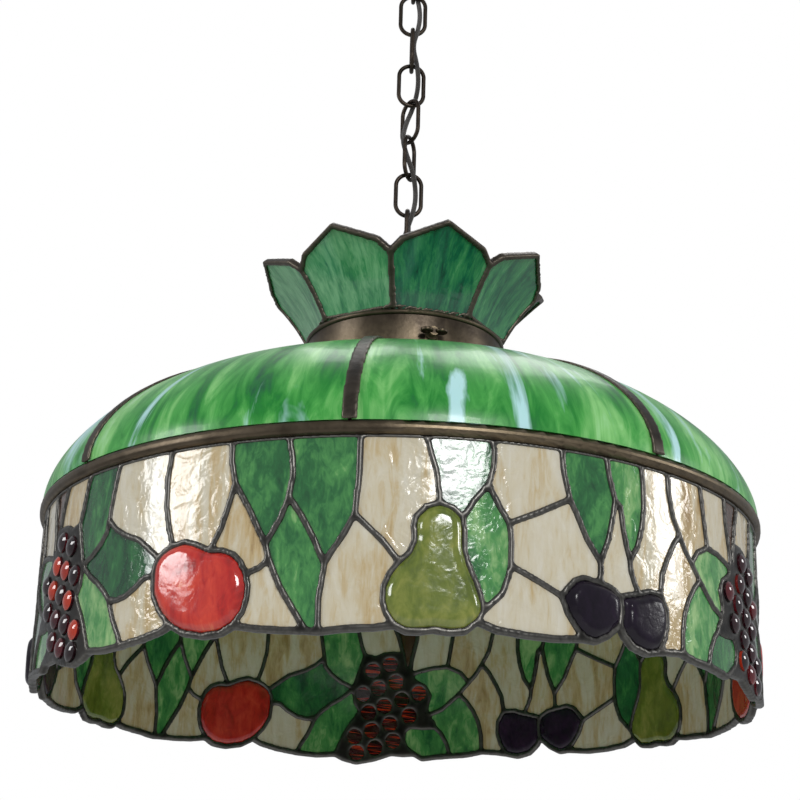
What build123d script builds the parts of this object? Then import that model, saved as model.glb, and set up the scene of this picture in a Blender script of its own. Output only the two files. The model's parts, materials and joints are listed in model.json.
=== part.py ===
"""A leaded-glass pool table lamp that hangs from the ceiling on a chain.

Everything is laid out from the mean lower rim of the shade (height 0) and moved down at the end,
so that the origin of the finished part is on the ceiling, between the two fixing screws.
"""
from build123d import *
import math
import os

# ---- driving dimensions, mm ----
SHADE_RADIUS = 306.0
SKIRT_HEIGHT = 139.5
CAME_THICKNESS = 6.0
CAME_WIDTH = 4.0
GLASS_GAP = 0.1
SECTIONS = 3

BAND_HEIGHT = 10.0
BAND_PROUD = 4.5
DOME_PANELS = 8
RIB_ANGLE = -7.0
RIB_WIDTH = 12.0
RIB_WEB = 2.4
DOME_GLASS = 3.5
COLLAR_RADIUS = 88.4
COLLAR_BASE = 276.6
COLLAR_TOP = 327.9
COLLAR_WALL = 2.0
CROWN_TIP_RADIUS = 136.5
CROWN_TIP_HEIGHT = 392.0
CROWN_BASE_RADIUS = 84.0
PETAL_GLASS = 3.0
PETAL_EDGE = 3.6

WIRE = 4.0
LINK_LENGTH = 47.6
LINK_WIDTH = 28.0
LINK_GAP = 0.3
LINK_YAWS = (-5, 85, 5, 68, -52, 8, 92, 2, 92)
LOWEST_LINK = 403.0
LOOP_RADIUS = 9.0
LOOP_WIRE = 5.0
LOOP_ENTRY = 5.5
CORD_WIDTH = 4.6
CORD_OFFSET = 7.3

THUMB_SCREW_ANGLE = 15.0
THUMB_SCREW_HEIGHT = 306.0
ARM_ANGLE = 45.0
SOCKET_RADIUS = 75.0
SOCKET_TOP = 262.0
HUB_HEIGHT = 277.0
PIPE_RADIUS = 4.95
PIPE_BORE = 3.6
CEILING = 795.0
STRAP_SPACING = 88.9
SCREW_HOLE = 2.3
CANOPY_RADIUS = 65.0
CANOPY_DEPTH = 28.0

LINK_PITCH = LINK_LENGTH - 2 * WIRE - LINK_GAP
THIRD_TURNS = [360.0 / SECTIONS * n for n in range(SECTIONS)]

# ---- the leaded pattern of one third of the skirt ----
# Each lead line is named once, as (angle in degrees, height in mm) along its centre.
LINES = {
    "top_m": [(-58.9, 140), (-51.5, 140)],
    "top_n": [(-51.5, 140), (-44.1, 140)],
    "top_a": [(-44.1, 140), (-33.6, 140)],
    "top_b": [(-33.6, 140), (-23.7, 140)],
    "top_d1": [(-23.7, 140), (-15.4, 140)],
    "top_d2": [(-15.4, 140), (-5.5, 140)],
    "top_f": [(-5.5, 140), (3.3, 140)],
    "top_g": [(3.3, 140), (12.2, 140)],
    "top_h": [(12.2, 140), (22.3, 140)],
    "top_i1": [(22.3, 140), (29.3, 140)],
    "top_i2": [(29.3, 140), (35.5, 140)],
    "top_k2": [(35.5, 140), (40.8, 140)],
    "top_k4": [(40.8, 140), (48.4, 140)],
    "top_k5": [(48.4, 140), (55.8, 140)],
    "top_stalk": [(55.8, 140), (61.1, 140)],
    "stalk_m": [(-61.3, 103), (-60.4, 121), (-58.9, 140)],
    "m_n": [(-51.5, 140), (-52.3, 129), (-53.1, 111.5), (-53.8, 101.5)],
    "grapes_m": [(-53.8, 101.5), (-56, 99.5), (-57.6, 103.5), (-59.5, 105), (-61.3, 103)],
    "grapes_n1": [(-53.8, 101.5), (-52.9, 86.5), (-51.8, 67.5)],
    "n1_a": [(-44.1, 140), (-45, 119.5), (-45.7, 97)],
    "n1_n2": [(-45.7, 97), (-46, 88), (-47.2, 80.5), (-49.2, 73), (-51.8, 67.5)],
    "a_n2": [(-45.7, 97), (-44, 88.5), (-41.9, 82), (-38.8, 75.5), (-36.9, 68), (-34.8, 59)],
    "n2_o": [(-35.5, 47), (-37.3, 45.8), (-38.8, 40), (-40.8, 34.6), (-42.7, 33.2), (-44.4, 35)],
    "n2_n3": [(-51.8, 67.5), (-49.4, 56.5), (-47.4, 50), (-45.4, 41), (-44.4, 35)],
    "n3_o": [(-44.4, 35), (-43.8, 28), (-43, 18), (-41.7, 7), (-41, -1)],
    "grapes_n3": [(-51.8, 67.5), (-52.1, 53), (-53.1, 45), (-52.4, 38), (-51.3, 30), (-50.3, 21),
                  (-49.4, 10), (-48.6, 0)],
    "a_b": [(-33.6, 140), (-34.1, 119), (-34, 97), (-33.2, 79), (-32.4, 66.4)],
    "b_d1": [(-23.7, 140), (-23.6, 124.7), (-22.9, 108)],
    "b_c": [(-22.9, 108), (-23.7, 92), (-24.6, 76), (-26.2, 59.5)],
    "c_d1": [(-22.9, 108), (-21.9, 99), (-20.5, 86.8), (-19.1, 72), (-18, 61)],
    "d1_d2": [(-15.4, 140), (-14.7, 124.3), (-14.6, 108.7), (-15, 95)],
    "d1_d3": [(-15, 95), (-16, 80), (-18, 61)],
    "c_d3": [(-18, 61), (-17.4, 50)],
    "c_p": [(-17.4, 50), (-18.7, 44.2), (-20.6, 40.5)],
    "d3_p": [(-17.4, 50), (-15.7, 30), (-13.9, 15), (-12, -1)],
    "d2_d3": [(-15, 95), (-13, 79.5), (-11.4, 64.2), (-9.8, 45.5)],
    "d2_f": [(-5.5, 140), (-5.5, 112), (-6, 81)],
    "d2_e": [(-6, 81), (-7.3, 67), (-8.9, 54), (-9.8, 45.5)],
    "f_e": [(-6, 81), (-3.9, 70.5), (-2.1, 61.2), (0, 47)],
    "d3_e": [(-9.8, 45.5), (-10, 34.5), (-10.4, 20), (-10.3, -2)],
    "f_g": [(3.3, 140), (3.9, 127), (4.7, 113), (5.2, 90.5)],
    "g_h": [(12.2, 140), (12.5, 131), (12.4, 119), (11.7, 106.5)],
    "g1_g2": [(11.7, 106.5), (9.8, 94), (8.3, 80.5)],
    "g2_h1": [(11.7, 106.5), (13.1, 92), (14.6, 79.3)],
    "g2_h2": [(14.6, 79.3), (14.9, 66.5), (14.8, 49)],
    "g2_h3": [(14.8, 49), (14.5, 40.8), (13.6, 28), (11.2, 15.5)],
    "h1_h2": [(14.6, 79.3), (18.8, 89.7), (23.4, 102.5)],
    "h2_h3": [(14.8, 49), (18.8, 39.3), (22, 31)],
    "h1_i": [(22.3, 140), (22.4, 124.4), (23.4, 102.5)],
    "h2_i": [(23.4, 102.5), (24.3, 93.5), (26, 74.5), (28.1, 59.5)],
    "h2_k1": [(28.1, 59.5), (28, 44.3)],
    "i1_i2": [(29.3, 140), (29.8, 124.4), (30.7, 107.8)],
    "i1_k1": [(30.7, 107.8), (30.3, 96), (29.5, 78), (28.1, 59.5)],
    "i2_k1": [(30.7, 107.8), (31.6, 103.6), (32, 88.2), (32.5, 75.3), (33.1, 65.3)],
    "i2_k2": [(35.5, 140), (35.8, 124.3), (35.8, 106.3), (35.4, 92), (34.5, 76.3), (33.1, 65.3)],
    "k1_k2": [(33.1, 65.3), (33.2, 57.3), (33.8, 49.3), (34.5, 41.3)],
    "k2_k4": [(40.8, 140), (40.9, 125), (41.7, 106.6), (43.1, 93.5)],
    "k2_k3": [(43.1, 93.5), (41.7, 85.4), (40.3, 72.7), (39.1, 59.8), (38.7, 44.5)],
    "k4_k3": [(43.1, 93.5), (44.4, 82.4), (45.7, 75)],
    "k4_l1": [(45.7, 75), (47.3, 85.2), (49.9, 91.5)],
    "k4_k5": [(48.4, 140), (49.1, 118), (49.9, 91.5)],
    "k5_l1": [(49.9, 91.5), (52.7, 90.3), (55.5, 86.6), (57.2, 83)],
    "k5_stalk": [(55.8, 140), (56, 120), (57, 98), (57.2, 83)],
    "l1_k3": [(45.7, 75), (47.6, 63.5)],
    "l1_l2": [(47.6, 63.5), (49.5, 54.3), (51.1, 47), (53.9, 41.5)],
    "l1_grapes": [(57.2, 83), (56.3, 76.8), (54.3, 71), (53.3, 62), (53.9, 52), (53.9, 41.5)],
    "k3_l2": [(47.6, 63.5), (46.1, 56), (44.7, 45.5), (43.7, 34), (43.2, 20.8), (43.1, 5)],
    "l2_grapes": [(53.9, 41.5), (52.5, 34.3), (52.3, 30)],
    "l2_l3": [(52.3, 30), (51.1, 24), (49.9, 13), (49.3, 1)],
    "l3_grapes": [(52.3, 30), (54.5, 28.8), (57.1, 30), (58.2, 25), (58.3, 16), (57.7, 8.5), (56.3, 3)],
    "stalk_grapes": [(57.2, 83), (58.2, 87), (58.7, 103)],
    "apple_b": [(-32.4, 66.4), (-30.3, 68.3), (-28.5, 65.3), (-26.2, 59.5)],
    "apple_c": [(-26.2, 59.5), (-24.1, 58.6), (-22.5, 55), (-21.4, 48.8), (-20.6, 40.5)],
    "apple_p": [(-20.6, 40.5), (-20.2, 31.8), (-20.3, 21.8), (-20.8, 13), (-22.1, 4.5)],
    "apple_rim": [(-22.1, 4.5), (-23.9, -0.5), (-26.6, -1.5), (-29.8, 2), (-32.1, 9)],
    "apple_o": [(-32.1, 9), (-33.9, 19), (-35.2, 31), (-35.5, 47)],
    "apple_n2": [(-35.5, 47), (-35.3, 53), (-34.8, 59)],
    "apple_a": [(-34.8, 59), (-33.7, 63.5), (-32.4, 66.4)],
    "pear_f": [(5.2, 90.5), (3.4, 87.5), (2, 79.2), (1.8, 73), (2, 63), (1.3, 53.3), (0, 47)],
    "pear_e": [(0, 47), (-1.2, 38.5), (-1.9, 29.5), (-2, 19.5), (-1.5, 10.5), (-0.4, 3)],
    "pear_rim": [(-0.4, 3), (1, -0.8), (2.9, -1), (4.7, 0.6), (6.6, -0.8), (8.8, 0.6), (10.4, 8)],
    "pear_h3": [(10.4, 8), (11.2, 15.5)],
    "pear_g2": [(11.2, 15.5), (10.9, 22.3), (10.2, 33.8), (9, 47.8), (8.5, 58), (8.5, 70.8), (8.3, 80.5)],
    "pear_g1": [(8.3, 80.5), (7, 87.4), (5.2, 90.5)],
    "plum1_h2": [(22, 31), (22.9, 37), (24, 43.3), (25.4, 46.4), (28, 44.3)],
    "plum1_k1": [(28, 44.3), (29.7, 42.5), (31.3, 36.8)],
    "plum1_plum2": [(31.3, 36.8), (31.5, 27), (31.2, 16)],
    "plum1_rim": [(31.2, 16), (29.3, 7.5), (27.2, 2), (25.6, 3)],
    "plum1_h3": [(25.6, 3), (24.3, 8.6), (22.9, 19), (22, 31)],
    "plum2_k1": [(31.3, 36.8), (32.9, 39.5), (34.5, 41.3)],
    "plum2_k2": [(34.5, 41.3), (36.5, 45), (38.7, 44.5)],
    "plum2_k3": [(38.7, 44.5), (39.8, 34), (39.9, 23.5), (39.3, 12), (38, 2)],
    "plum2_rim": [(38, 2), (35.9, -0.5), (33.4, 2.5), (31.8, 10), (31.2, 16)],
    "rim_n3": [(-48.6, 0), (-45, -2), (-41, -1)],
    "rim_o": [(-41, -1), (-37, 1.5), (-33.8, 5), (-32.1, 9)],
    "rim_p": [(-22.1, 4.5), (-19, 1.5), (-15, -0.5), (-12, -1)],
    "rim_d3": [(-12, -1), (-10.3, -2)],
    "rim_e": [(-10.3, -2), (-7, 0), (-3, 1), (-0.4, 3)],
    "rim_h3": [(10.4, 8), (13, 3), (17, 1), (21, 0.5), (25.6, 3)],
    "rim_k3": [(38, 2), (40.5, 4), (43.1, 5)],
    "rim_l2": [(43.1, 5), (46, 2), (49.3, 1)],
    "rim_l3": [(49.3, 1), (51.9, 0), (54.7, -2), (56.3, 3)],
    "rim_grapes": [(56.3, 3), (58.4, 2), (60.6, 3), (63.7, -3), (67.2, -7), (69.8, -4), (71.4, 0)],
}

# Each piece of glass is bounded by lead lines in order; a minus sign means the line runs backwards.
CREAM_GLASS = {
    "m": "top_m m_n grapes_m stalk_m",
    "a": "top_a a_b -apple_a -a_n2 -n1_a",
    "b": "top_b b_d1 b_c -apple_b -a_b",
    "c": "c_d1 c_d3 c_p -apple_c -b_c",
    "o": "n2_o n3_o rim_o apple_o",
    "p": "d3_p -rim_p -apple_p -c_p",
    "e": "d2_e d3_e rim_e -pear_e -f_e",
    "f": "top_f f_g pear_f -f_e -d2_f",
    "h1": "top_h h1_i -h1_h2 -g2_h1 -g_h",
    "h2": "h1_h2 h2_i h2_k1 -plum1_h2 -h2_h3 -g2_h2",
    "h3": "h2_h3 -plum1_h3 -rim_h3 pear_h3 -g2_h3",
    "k1": "i1_k1 h2_k1 plum1_k1 plum2_k1 -k1_k2 -i2_k1",
    "k2": "top_k2 k2_k4 k2_k3 -plum2_k2 -k1_k2 -i2_k2",
    "k3": "k4_k3 l1_k3 k3_l2 -rim_k3 -plum2_k3 -k2_k3",
    "k4": "top_k4 k4_k5 -k4_l1 -k4_k3 -k2_k4",
    "k5": "top_k5 k5_stalk -k5_l1 -k4_k5",
}
LEAF_GLASS = {
    "n1": "top_n n1_a n1_n2 -grapes_n1 -m_n",
    "n2": "a_n2 -apple_n2 n2_o -n2_n3 -n1_n2",
    "n3": "n2_n3 n3_o -rim_n3 -grapes_n3",
    "d1": "top_d1 d1_d2 d1_d3 -c_d1 -b_d1",
    "d2": "top_d2 d2_f d2_e -d2_d3 -d1_d2",
    "d3": "d2_d3 d3_e -rim_d3 -d3_p -c_d3 -d1_d3",
    "g1": "top_g g_h g1_g2 pear_g1 -f_g",
    "g2": "g2_h1 g2_h2 g2_h3 pear_g2 -g1_g2",
    "i1": "top_i1 i1_i2 i1_k1 -h2_i -h1_i",
    "i2": "top_i2 i2_k2 -i2_k1 -i1_i2",
    "l1": "k4_l1 k5_l1 l1_grapes -l1_l2 -l1_k3",
    "l2": "l1_l2 l2_grapes l2_l3 -rim_l2 -k3_l2",
    "l3": "l3_grapes -rim_l3 -l2_l3",
}
STALK_GLASS = "top_stalk stalk_m@ -stalk_grapes -k5_stalk"
APPLE_GLASS = "apple_b apple_c apple_p apple_rim apple_o apple_n2 apple_a"
PEAR_GLASS = "pear_f pear_e pear_rim pear_h3 pear_g2 pear_g1"
PLUM_GLASS = ("plum1_h2 plum1_k1 plum1_plum2 plum1_rim plum1_h3",
              "plum2_k1 plum2_k2 plum2_k3 plum2_rim -plum1_plum2")
PANES = [*CREAM_GLASS.values(), *LEAF_GLASS.values(), *PLUM_GLASS, STALK_GLASS, APPLE_GLASS, PEAR_GLASS]
RIM_LINES = ("rim_n3 rim_o apple_rim rim_p rim_d3 rim_e pear_rim rim_h3 plum1_rim plum2_rim rim_k3 rim_l2"
             " rim_l3 rim_grapes")

# Round grape jewels of one cluster, as (angle, height).
GRAPES = (
    (61.2, 93), (64.6, 86), (60.0, 75), (63.4, 68), (66.4, 61.5), (55.5, 64), (58.8, 57), (62.2, 50),
    (65.2, 43), (57.3, 41), (61.0, 32), (64.5, 25), (67.8, 18), (60.3, 15), (63.8, 7.5), (67.3, 2),
)
GRAPE_RADIUS = 7.6


def pane_outline(names):
    """The (angle, height) corners of a piece of glass, from its bounding lead lines."""
    corners = []
    for name in names.split():
        turn = 120 if name.endswith("@") else 0
        line = LINES[name.strip("-@")]
        if name.startswith("-"):
            line = line[::-1]
        shifted = [(angle + turn, height) for angle, height in line]
        if turn:
            shifted = shifted[::-1]
        corners += shifted[:-1]
    return corners


def facing_plane(angle, height, radius):
    """A plane that touches the shade at an angle and height, with its normal pointing outward."""
    turn = math.radians(angle)
    normal = Vector(math.sin(turn), -math.cos(turn), 0)
    along = Vector(math.cos(turn), math.sin(turn), 0)
    return Plane(origin=normal * radius + Vector(0, 0, height), x_dir=along, z_dir=normal)


def inset_corners(points, distance):
    """A polygon's corners moved in by a distance; sides too short to survive are dropped."""
    count = len(points)
    area = sum(points[n - 1][0] * points[n][1] - points[n][0] * points[n - 1][1] for n in range(count))
    inward = 1 if area > 0 else -1
    sides = []
    for n in range(count):
        start = Vector(*points[n])
        direction = (Vector(*points[(n + 1) % count]) - start).normalized()
        normal = Vector(-direction.Y, direction.X) * inward
        sides.append((start + normal * distance, direction))
    while True:
        corners = [meeting(sides[n - 1], sides[n]) for n in range(len(sides))]
        runs = [(corners[(n + 1) % len(sides)] - corners[n]).dot(sides[n][1]) for n in range(len(sides))]
        if min(runs) > 0.05 or len(sides) < 4:
            return [(corner.X, corner.Y) for corner in corners]
        sides.pop(runs.index(min(runs)))


def meeting(first, second):
    """Where two lines, each a point and a direction, cross in the plane."""
    across = first[1].X * second[1].Y - first[1].Y * second[1].X
    if abs(across) < 0.02:
        return second[0]
    between = second[0] - first[0]
    return first[0] + first[1] * ((between.X * second[1].Y - between.Y * second[1].X) / across)


def prism(corners, inset, near, far):
    """A pane's outline, inset from its lead lines and pushed outward from one radius to another.

    It is square to the shade at the middle of the pane.
    """
    middle = (min(a for a, _ in corners) + max(a for a, _ in corners)) / 2
    points = [(SHADE_RADIUS * math.sin(math.radians(a - middle)), z) for a, z in corners]
    if inset:
        points = inset_corners(points, inset)
    plane = facing_plane(middle, 0, near)
    face = make_face(Polyline(*points, close=True))
    return extrude(plane * face, amount=far - near, dir=plane.z_dir)


def ring(outer, inner, low, high):
    """A plain upright ring."""
    return (Pos(0, 0, low) * Cylinder(outer, high - low, align=(Align.CENTER, Align.CENTER, Align.MIN))
            - Pos(0, 0, low - 1) * Cylinder(inner, high - low + 2,
                                           align=(Align.CENTER, Align.CENTER, Align.MIN)))


def rod(radius, low, high):
    """An upright cylinder between two heights."""
    return Pos(0, 0, low) * Cylinder(radius, high - low, align=(Align.CENTER, Align.CENTER, Align.MIN))


def thirds(solids):
    """Copies of solids in all three sections of the shade."""
    return [Rot(0, 0, turn) * solid for turn in THIRD_TURNS for solid in solids]


def glass_pieces(names, inner, outer):
    """Curved glass for one opening, between two radii."""
    tool = prism(pane_outline(names), CAME_WIDTH / 2 + GLASS_GAP, inner - 15, outer + 8)
    return (tool & ring(outer, inner, -30, SKIRT_HEIGHT + 10)).solids()


def domed_fruit(names):
    """Thick pressed glass: a base that fills its opening and a smaller raised crown on it."""
    base = glass_pieces(names, SHADE_RADIUS - CAME_THICKNESS + 0.5, SHADE_RADIUS)
    raised = prism(pane_outline(names), CAME_WIDTH / 2 + 3.5, SHADE_RADIUS - 20, SHADE_RADIUS + 10)
    shell = ring(SHADE_RADIUS + 3.5, SHADE_RADIUS - 2, -30, SKIRT_HEIGHT)
    return (base[0] + (raised & shell)).solids()


def jewel(angle, height):
    """A round cabochon with a low domed front."""
    plane = facing_plane(angle, height, SHADE_RADIUS - CAME_THICKNESS + 0.5)
    body = Pos(0, 0, 5) * Cylinder(GRAPE_RADIUS, 10)
    return plane * (body & Pos(0, 0, -2) * Sphere(12))


def grape_hole(angle, height):
    """The round hole for one jewel."""
    return facing_plane(angle, height, SHADE_RADIUS) * Cylinder(GRAPE_RADIUS + GLASS_GAP, 40)


def below_rim(line):
    """The space under one stretch of the wavy lower edge of the skirt."""
    drop = CAME_WIDTH / 2 + 0.4
    edge = [(angle, height - drop) for angle, height in sorted(line)]
    start = edge[0][0] - 0.03
    end = edge[-1][0] + 0.03
    return [(start, edge[0][1])] + edge[1:-1] + [(end, edge[-1][1]), (end, -40), (start, -40)]


def skirt_came():
    """The lead came and solder of the skirt, one soldered section for each third."""
    near = SHADE_RADIUS - 25
    far = SHADE_RADIUS + 25
    openings = [pane_outline(names) for names in PANES]
    cutters = [(outline[0][0], prism(outline, CAME_WIDTH / 2, near, far)) for outline in openings]
    edges = [below_rim(LINES[name]) for name in RIM_LINES.split()]
    cutters += [(outline[0][0], prism(outline, 0, near, far)) for outline in edges]
    cutters += [(angle, grape_hole(angle, height)) for angle, height in GRAPES]
    wanted = [Rot(0, 0, turn) * cutter for turn in (-120, 0, 120) for angle, cutter in cutters
              if abs(angle + turn) < 78]
    wall = Plane.XZ * (Pos(SHADE_RADIUS - CAME_THICKNESS / 2, SKIRT_HEIGHT / 2 - 10)
                       * Rectangle(CAME_THICKNESS, SKIRT_HEIGHT + 20))
    arc = 360 / SECTIONS
    section = Rot(0, 0, -90 - arc / 2) * revolve(wall, Axis.Z, revolution_arc=arc) - wanted
    return thirds(section.solids())


def dome_curve(depth):
    """The dome's outline at a depth below its outer surface (negative is above it)."""
    start = (SHADE_RADIUS + 3 - depth, SKIRT_HEIGHT + BAND_HEIGHT)
    return Bezier(start, (SHADE_RADIUS + 3 - depth, 200.8), (219.9 - 0.35 * depth, 273.3 - depth),
                  (COLLAR_RADIUS, 276.1 - depth))


def dome_shell(outer_depth, inner_depth, arc):
    """A piece of the dome's wall between two depths, over an arc centred on the front."""
    outer = dome_curve(outer_depth)
    inner = dome_curve(inner_depth)
    profile = make_face([outer, Line(outer @ 1, inner @ 1), inner, Line(inner @ 0, outer @ 0)])
    upright = Plane.XZ * profile
    solid = revolve(upright, Axis.Z, revolution_arc=arc)
    return Rot(0, 0, -90 - arc / 2) * solid


def slab(width, radius=330.0):
    """A thin upright slab at the front, used to cut strips that have parallel sides."""
    return Pos(0, -radius / 2 - 40, 200) * Box(width, radius - 80, 400)


def dome_panels():
    """Eight bent glass panels."""
    arc = 360.0 / DOME_PANELS
    half_web = Rot(0, 0, arc / 2) * slab(RIB_WEB + 0.2) + Rot(0, 0, -arc / 2) * slab(RIB_WEB + 0.2)
    panel = dome_shell(0, DOME_GLASS, arc) - half_web
    return [Rot(0, 0, RIB_ANGLE + arc * (n + 0.5)) * panel for n in range(DOME_PANELS)]


def dome_ribs():
    """Eight ribs of H section that hold the edges of the panels."""
    arc = 360.0 / DOME_PANELS
    cap = dome_shell(-2.6, 0, 12) & slab(RIB_WIDTH)
    web = dome_shell(0, DOME_GLASS, 12) & slab(RIB_WEB)
    back = dome_shell(DOME_GLASS, DOME_GLASS + 2, 12) & slab(RIB_WIDTH)
    rib = cap + web + back
    return [Rot(0, 0, RIB_ANGLE + arc * n) * rib for n in range(DOME_PANELS)]


def band():
    """The rounded band between the skirt and the dome."""
    section = Rectangle(BAND_PROUD + CAME_THICKNESS, BAND_HEIGHT)
    section = fillet(section.vertices().group_by(Axis.X)[-1], BAND_HEIGHT / 2 - 1)
    place = Pos(SHADE_RADIUS - (CAME_THICKNESS - BAND_PROUD) / 2, SKIRT_HEIGHT + BAND_HEIGHT / 2)
    return revolve(Plane.XZ * (place * section), Axis.Z)


def dome_neck():
    """The neck soldered into the top of the dome, which the collar's screws grip."""
    outer = COLLAR_RADIUS - COLLAR_WALL - 1.2
    return ring(outer, outer - 2, 266, 312) + ring(COLLAR_RADIUS, outer - 1, 266, 271.5)


def on_collar(angle, height, radius=COLLAR_RADIUS):
    """A plane on the collar whose normal points outward."""
    return facing_plane(angle, height, radius)


def collar():
    """The collar that carries the shade and the crown, with threaded bosses for the thumb screws."""
    wall = ring(COLLAR_RADIUS, COLLAR_RADIUS - COLLAR_WALL, COLLAR_BASE, COLLAR_TOP)
    bead = Pos(0, 0, COLLAR_TOP - 2.5) * Torus(COLLAR_RADIUS - 0.3, 2.4)
    inside = rod(COLLAR_RADIUS - COLLAR_WALL, COLLAR_BASE - 20, COLLAR_TOP + 20)
    body = wall + (bead - inside)
    for turn in THIRD_TURNS:
        body = body + on_collar(THUMB_SCREW_ANGLE + turn, THUMB_SCREW_HEIGHT) * (
            Pos(0, 0, 0.8) * Cylinder(5.5, 3))
        body = body - on_collar(THUMB_SCREW_ANGLE + turn, THUMB_SCREW_HEIGHT) * Cylinder(2.6, 20)
    return body - rod(COLLAR_RADIUS - COLLAR_WALL, COLLAR_BASE - 20, COLLAR_TOP + 20)


def thumb_screw():
    """A screw with two rounded wings, along its own axis, head outward.

    Its tip presses on the neck without entering it, and its wings clear the collar's boss.
    """
    length = 7.0
    shank = Pos(0, 0, -length / 2 + 4) * Cylinder(2.5, length)
    hub = Pos(0, 0, 6.5) * Cylinder(4, 5)
    wings = [Pos(side * 6.5, 0, 8.5) * Rot(90, 0, 0) * Cylinder(5.5, 3) for side in (-1, 1)]
    wings = [fillet(wing.edges(), 1) for wing in wings]
    return shank + hub + wings[0] + wings[1]


def petal_outline(inset):
    """A petal's outline in its own plane: upright sides, a rounded shoulder and a pointed tip."""
    half = 60.0
    length = math.hypot(CROWN_TIP_RADIUS - CROWN_BASE_RADIUS, CROWN_TIP_HEIGHT - COLLAR_TOP)
    notch = 0.50 * length
    shoulder = 0.75 * length
    side = 46.0 - inset
    tip = length - 1.3 * inset
    edge = Polyline((side + 2, notch - inset), (side - 1, 0.62 * length - inset),
                    (side - 8, shoulder - inset), (0, tip))
    mirrored = mirror(edge, Plane.YZ)
    bottom = Polyline((-half, notch - inset), (-half, -20), (half, -20), (half, notch - inset))
    joins = [Line((half, notch - inset), (side + 2, notch - inset)),
             Line((-side - 2, notch - inset), (-half, notch - inset))]
    return make_face([edge, mirrored, bottom] + joins)


def petal_slab(front, back, inset, gap):
    """A petal between two depths behind its front surface, cut to its outline and mitred sides."""
    middle = (CROWN_BASE_RADIUS + 23.5, COLLAR_TOP + 37)

    def surface(depth):
        return ThreePointArc((CROWN_BASE_RADIUS - depth, COLLAR_TOP + 0.1),
                             (middle[0] - depth, middle[1] + 0.6 * depth),
                             (CROWN_TIP_RADIUS + 6 - depth, CROWN_TIP_HEIGHT + 4.5 + 0.8 * depth))

    outer = surface(front)
    inner = surface(back)
    profile = make_face([outer, Line(outer @ 1, inner @ 1), inner, Line(inner @ 0, outer @ 0)])
    sheet = extrude(Plane.YZ * mirror(profile, Plane.YZ), amount=80, both=True)
    lean = math.atan2(CROWN_TIP_RADIUS - CROWN_BASE_RADIUS, CROWN_TIP_HEIGHT - COLLAR_TOP)
    up = Vector(0, -math.sin(lean), math.cos(lean))
    normal = Vector(0, -math.cos(lean), -math.sin(lean))
    plane = Plane(origin=(0, -CROWN_BASE_RADIUS, COLLAR_TOP), x_dir=up.cross(normal), z_dir=normal)
    shape = extrude(plane * petal_outline(inset), amount=70, both=True)
    wedge = mitre_wedge(gap)
    return sheet & shape & wedge


def mitre_wedge(gap):
    """The one-eighth sector at the front, drawn in from its two seams by a gap."""
    slope = math.tan(math.pi / DOME_PANELS)
    far = 200.0
    near = gap / math.sin(math.pi / DOME_PANELS)
    corners = [(0, -near), (slope * (far - near), -far), (-slope * (far - near), -far)]
    face = make_face(Polyline(*corners, close=True))
    return Pos(0, 0, 300) * extrude(face, amount=120)


def crown_glass():
    """Eight petals of glass."""
    arc = 360.0 / DOME_PANELS
    petal = petal_slab(1.2, 1.2 + PETAL_GLASS, PETAL_EDGE - 1.5, 0.9)
    return [Rot(0, 0, RIB_ANGLE + arc * (n + 0.5)) * petal for n in range(DOME_PANELS)]


def crown_came():
    """The came round each petal, soldered together along the seams."""
    arc = 360.0 / DOME_PANELS
    full = petal_slab(0, PETAL_GLASS + 2.4, 0, 0)
    opening = petal_slab(-3, PETAL_GLASS + 6, PETAL_EDGE, PETAL_EDGE * 0.8)
    opening = opening - rod(CROWN_BASE_RADIUS * 1.3, COLLAR_TOP - 10, COLLAR_TOP + PETAL_EDGE)
    glass = petal_slab(1.2 - GLASS_GAP, 1.2 + PETAL_GLASS + GLASS_GAP, PETAL_EDGE - 1.6, 0.8)
    frame = full - opening - glass
    return [Rot(0, 0, RIB_ANGLE + arc * (n + 0.5)) * solid
            for n in range(DOME_PANELS) for solid in frame.solids()]


def chain_link():
    """One oval link of round wire, standing in the XZ plane."""
    half = (LINK_WIDTH - WIRE) / 2
    straight = (LINK_LENGTH - WIRE) / 2 - half
    legs = [Pos(side * half, 0, 0) * Cylinder(WIRE / 2, 2 * straight) for side in (-1, 1)]
    bow = revolve(Pos(half, 0) * Circle(WIRE / 2), Axis.Y, revolution_arc=-180)
    top = Pos(0, 0, straight) * bow
    bottom = Pos(0, 0, -straight) * Rot(0, 180, 0) * bow
    return legs[0] + legs[1] + top + bottom


def link_height(index):
    """The height of a link's centre, counting up from the lowest."""
    return LOWEST_LINK + LINK_PITCH * index


def eye(centre, yaw, stem):
    """A cast loop on a hollow stem; the stem is given as (radius, low, high)."""
    hoop = Pos(0, 0, centre) * Rot(0, 0, yaw) * Rot(90, 0, 0) * Torus(LOOP_RADIUS, LOOP_WIRE / 2)
    radius, low, high = stem
    return hoop + rod(radius, low, high)


LINK_REACH = (LINK_LENGTH - WIRE) / 2
LOOP_STEP = (WIRE + LOOP_WIRE) / 2 + LINK_GAP
TOP_LOOP = LOWEST_LINK - LINK_REACH + LOOP_STEP - LOOP_RADIUS
CANOPY_LOOP = link_height(len(LINK_YAWS) - 1) + LINK_REACH - LOOP_STEP + LOOP_RADIUS


def top_loop():
    """The loop that the lowest link holds, screwed on the top of the pipe."""
    body = eye(TOP_LOOP, LINK_YAWS[0] + 90, (7.5, 348, TOP_LOOP - LOOP_RADIUS + 2))
    body = body - rod(CORD_WIDTH / 2 + 1.0, 340, TOP_LOOP - 2)
    return body - rod(PIPE_RADIUS + 0.05, 340, 362)


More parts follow.
